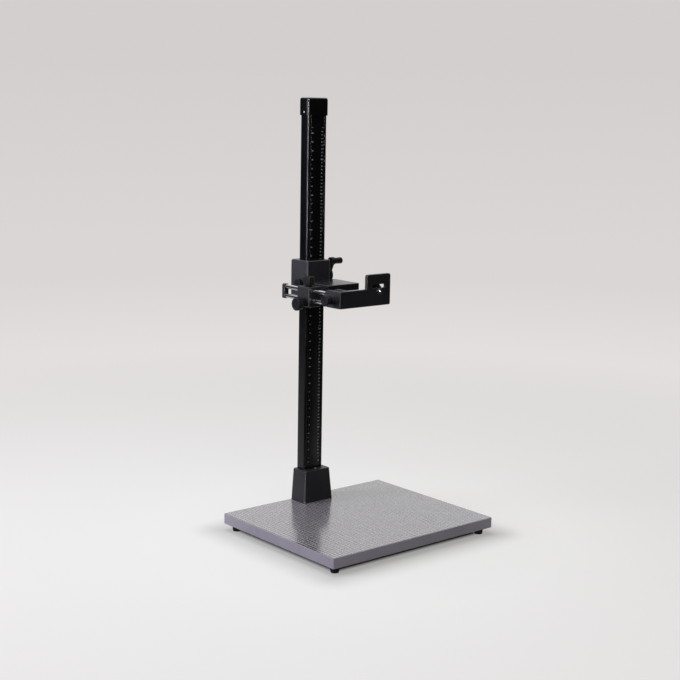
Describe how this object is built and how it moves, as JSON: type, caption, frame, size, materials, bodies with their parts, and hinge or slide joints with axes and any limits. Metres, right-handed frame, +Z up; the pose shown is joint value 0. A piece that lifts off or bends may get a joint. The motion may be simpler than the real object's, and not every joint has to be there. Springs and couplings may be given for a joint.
{
  "type": "copy stand",
  "caption": "Copy stand: a cranked carriage on a tall flat column over a laminate baseboard, with a rack-driven rod arm and a tilting camera bracket.",
  "frame": {"origin": "centre of the baseboard's top face, where the copied sheet lies", "axes": "+Z up along the column, -Y towards the front edge of the board, +X to the right seen from the front"},
  "size_m": [0.6, 0.522, 1.2467],
  "materials": {
    "board_laminate": "grey laminate over particle board, printed with a fine grid",
    "foot_rubber": "moulded black rubber",
    "casting_black": "cast and machined aluminium, fine-textured black lacquer",
    "column_coat": "drawn aluminium, black coated, with a printed scale",
    "carriage_lacquer": "cast aluminium, satin black lacquer",
    "plate_lacquer": "aluminium plate, gloss black lacquer",
    "knob_plastic": "moulded black plastic",
    "cap_plastic": "moulded charcoal plastic",
    "chrome": "ground and chrome plated",
    "bright_steel": "bright zinc-plated or turned steel",
    "dark_steel": "blackened steel",
    "brass": "turned brass",
    "slide_nylon": "black nylon",
    "level_fluid": "clear yellow-green spirit level"
  },
  "bodies": {
    "base": {"baseboard": "board_laminate", "foot_front_left": "foot_rubber", "foot_front_right": "foot_rubber", "foot_rear_left": "foot_rubber", "foot_rear_right": "foot_rubber", "column_socket": "casting_black", "column_bolt_1": "bright_steel", "column_bolt_2": "bright_steel", "column_bolt_3": "bright_steel", "column_bolt_4": "bright_steel", "column_clamp_screw": "dark_steel", "level_cup": "knob_plastic", "level_vial": "level_fluid", "column": "column_coat", "gear_rack": "dark_steel", "column_cap": "cap_plastic", "cap_screw": "bright_steel"},
    "carriage": {"carriage_housing": "carriage_lacquer", "lower_glide_ring": "slide_nylon", "upper_glide_ring": "slide_nylon", "gib_plate": "brass", "gib_screw": "bright_steel", "carriage_rear_cover": "carriage_lacquer", "crank_bush": "brass", "arm_plate": "plate_lacquer", "arm_plate_screw_1": "dark_steel", "arm_plate_screw_2": "dark_steel", "rod_guide_block": "casting_black", "upper_rod_bush": "slide_nylon", "lower_rod_bush": "slide_nylon", "arm_drive_bush": "brass", "arm_lock_shoe": "brass", "height_lock_shoe": "brass"},
    "crank": {"crank_shaft": "bright_steel", "lift_pinion": "dark_steel", "crank_disc": "knob_plastic", "crank_arm": "knob_plastic", "crank_screw": "dark_steel", "handle_pin": "dark_steel"},
    "crank_grip": {"crank_handle": "knob_plastic"},
    "height_lock": {"height_lock_knob": "knob_plastic", "height_lock_stud": "bright_steel"},
    "arm": {"upper_rod": "chrome", "lower_rod": "chrome", "rod_end_plate": "casting_black", "upper_end_screw": "dark_steel", "lower_end_screw": "dark_steel", "rod_head": "casting_black", "rod_head_screw": "dark_steel"},
    "arm_drive": {"arm_drive_knob": "knob_plastic", "arm_drive_pinion": "bright_steel"},
    "arm_lock": {"arm_lock_knob": "knob_plastic", "arm_lock_stud": "bright_steel"},
    "bracket": {"camera_bracket": "casting_black", "tilt_bolt": "bright_steel"},
    "tilt_lock": {"tilt_knob": "knob_plastic", "tilt_washer": "dark_steel"},
    "screw_slider": {"screw_slide_bush": "bright_steel"},
    "camera_screw": {"camera_screw": "chrome", "camera_screw_knob": "knob_plastic"}
  },
  "joints": [
    {"name": "carriage_lift", "type": "slide", "parent": "base", "child": "carriage", "axis": [0, 0, 1], "range_m": [-0.495, 0.41]},
    {"name": "crank_turn", "type": "hinge", "parent": "carriage", "child": "crank", "pos_m": [0.055, 0.2255, 0.679], "axis": [1, 0, 0], "range_deg": [-2360, 2840]},
    {"name": "handle_spin", "type": "hinge", "parent": "crank", "child": "crank_grip", "pos_m": [0.09, 0.21877, 0.71911], "axis": [1, 0, 0], "continuous": true},
    {"name": "height_lock_turn", "type": "hinge", "parent": "carriage", "child": "height_lock", "pos_m": [-0.05, 0.229, 0.659], "axis": [1, 0, 0], "range_deg": [-360, 0]},
    {"name": "arm_slide", "type": "slide", "parent": "carriage", "child": "arm", "axis": [0, 1, 0], "range_m": [-0.07, 0.05]},
    {"name": "arm_drive_turn", "type": "hinge", "parent": "carriage", "child": "arm_drive", "pos_m": [-0.124, 0.0915, 0.6238], "axis": [1, 0, 0], "range_deg": [-580, 810]},
    {"name": "arm_lock_turn", "type": "hinge", "parent": "carriage", "child": "arm_lock", "pos_m": [-0.124, 0.088, 0.68], "axis": [0, 0, 1], "range_deg": [0, 360]},
    {"name": "bracket_tilt", "type": "hinge", "parent": "arm", "child": "bracket", "pos_m": [-0.124, -0.04, 0.649], "axis": [1, 0, 0], "range_deg": [-90, 0]},
    {"name": "tilt_lock_turn", "type": "hinge", "parent": "bracket", "child": "tilt_lock", "pos_m": [-0.16, -0.04, 0.649], "axis": [1, 0, 0], "range_deg": [-360, 0]},
    {"name": "screw_slide", "type": "slide", "parent": "bracket", "child": "screw_slider", "axis": [0, 0, 1], "range_m": [0, 0.014]},
    {"name": "camera_screw_turn", "type": "hinge", "parent": "screw_slider", "child": "camera_screw", "pos_m": [0, -0.06, 0.667], "axis": [0, 1, 0], "continuous": true}
  ],
  "couplings": [
    {"joint": "crank_turn", "follows": "carriage_lift", "rad_per_m": -100},
    {"joint": "arm_drive_turn", "follows": "arm_slide", "rad_per_m": -200}
  ]
}
